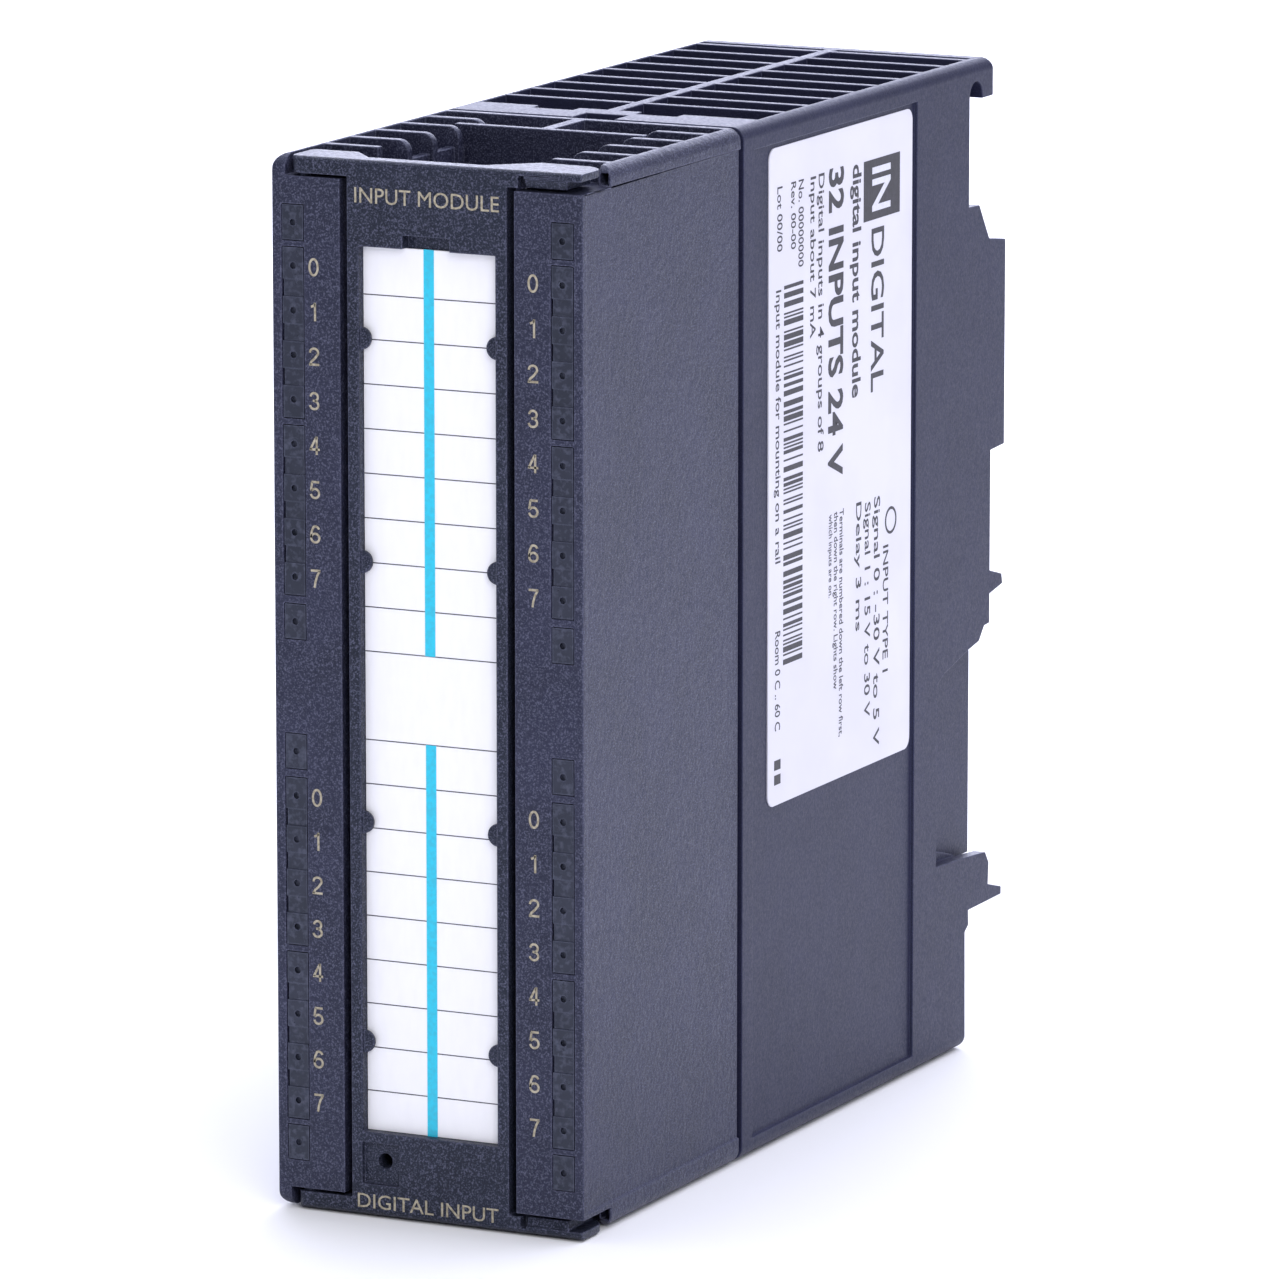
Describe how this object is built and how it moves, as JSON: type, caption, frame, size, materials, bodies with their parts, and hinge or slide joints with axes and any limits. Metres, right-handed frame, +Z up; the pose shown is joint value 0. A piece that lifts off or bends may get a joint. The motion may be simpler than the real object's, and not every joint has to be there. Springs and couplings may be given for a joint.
{
  "type": "programmable controller input module",
  "caption": "Slim rail-mounted digital input module: hinged front door with a label strip, light columns, open wiring bay, cooling ribs and a rear rail hook.",
  "frame": {"origin": "centre of the footprint, on the surface that the module stands on", "axes": "+X to the right seen from the door, +Y from the door to the rail, +Z up"},
  "size_m": [0.04, 0.12, 0.125],
  "materials": {
    "housing_plastic": "fine spark-eroded texture",
    "door_plastic": "fine spark-eroded texture",
    "strip_stock": "matt printed strip",
    "label_stock": "satin printed label",
    "light_guide_plastic": "smoked translucent, satin",
    "blank_plastic": "smoked translucent, satin",
    "board_laminate": "green solder mask",
    "light_body": "milky",
    "contact_metal": "bright plated",
    "block_plastic": "satin",
    "insert_brass": "turned",
    "key_plastic": "satin",
    "chip_plastic": "matt moulded",
    "resistor_body": "lacquered",
    "capacitor_ceramic": "ceramic",
    "capacitor_can": "drawn can",
    "crystal_can": "drawn can",
    "washer_plastic": "satin",
    "screw_steel": "zinc plated"
  },
  "bodies": {
    "housing": {"rear_housing": "housing_plastic", "front_housing": "housing_plastic", "rating_label": "label_stock", "left_light_guide_1": "light_guide_plastic", "left_window_blank_1": "blank_plastic", "left_light_guide_2": "light_guide_plastic", "left_window_blank_2": "blank_plastic", "left_light_guide_3": "light_guide_plastic", "left_window_blank_3": "blank_plastic", "left_light_guide_4": "light_guide_plastic", "left_window_blank_4": "blank_plastic", "right_light_guide_1": "light_guide_plastic", "right_window_blank_1": "blank_plastic", "right_light_guide_2": "light_guide_plastic", "right_window_blank_2": "blank_plastic", "right_light_guide_3": "light_guide_plastic", "right_window_blank_3": "blank_plastic", "right_light_guide_4": "light_guide_plastic", "right_window_blank_4": "blank_plastic", "left_board": "board_laminate", "right_board": "board_laminate", "bus_board": "board_laminate", "left_lights": "light_body", "right_lights": "light_body", "left_contacts": "contact_metal", "right_contacts": "contact_metal", "bus_contacts": "contact_metal", "contact_block": "block_plastic", "bus_socket": "block_plastic", "connector_insert": "insert_brass", "coding_key": "key_plastic", "left_optocouplers": "chip_plastic", "right_optocouplers": "chip_plastic", "bus_chip": "chip_plastic", "left_resistors": "resistor_body", "right_resistors": "resistor_body", "left_capacitors": "capacitor_ceramic", "right_capacitors": "capacitor_ceramic", "supply_capacitor": "capacitor_can", "crystal": "crystal_can"},
    "door": {"front_door": "door_plastic", "label_strip": "strip_stock"},
    "washer": {"captive_washer": "washer_plastic"},
    "screw": {"fixing_screw": "screw_steel"}
  },
  "joints": [
    {"name": "door_hinge", "type": "hinge", "parent": "housing", "child": "door", "pos_m": [-0.0163, -0.0586, 0.0625], "axis": [0, 0, -1], "range_deg": [0, 100]},
    {"name": "screw_travel", "type": "slide", "parent": "housing", "child": "washer", "axis": [0, -1, 0], "range_m": [0, 0.005]},
    {"name": "screw_turn", "type": "hinge", "parent": "washer", "child": "screw", "pos_m": [0, 0.04, 0.0062], "axis": [0, -1, 0], "range_deg": [0, 3600]}
  ],
  "couplings": [
    {"joint": "screw_turn", "follows": "screw_travel", "rad_per_m": 12566}
  ]
}
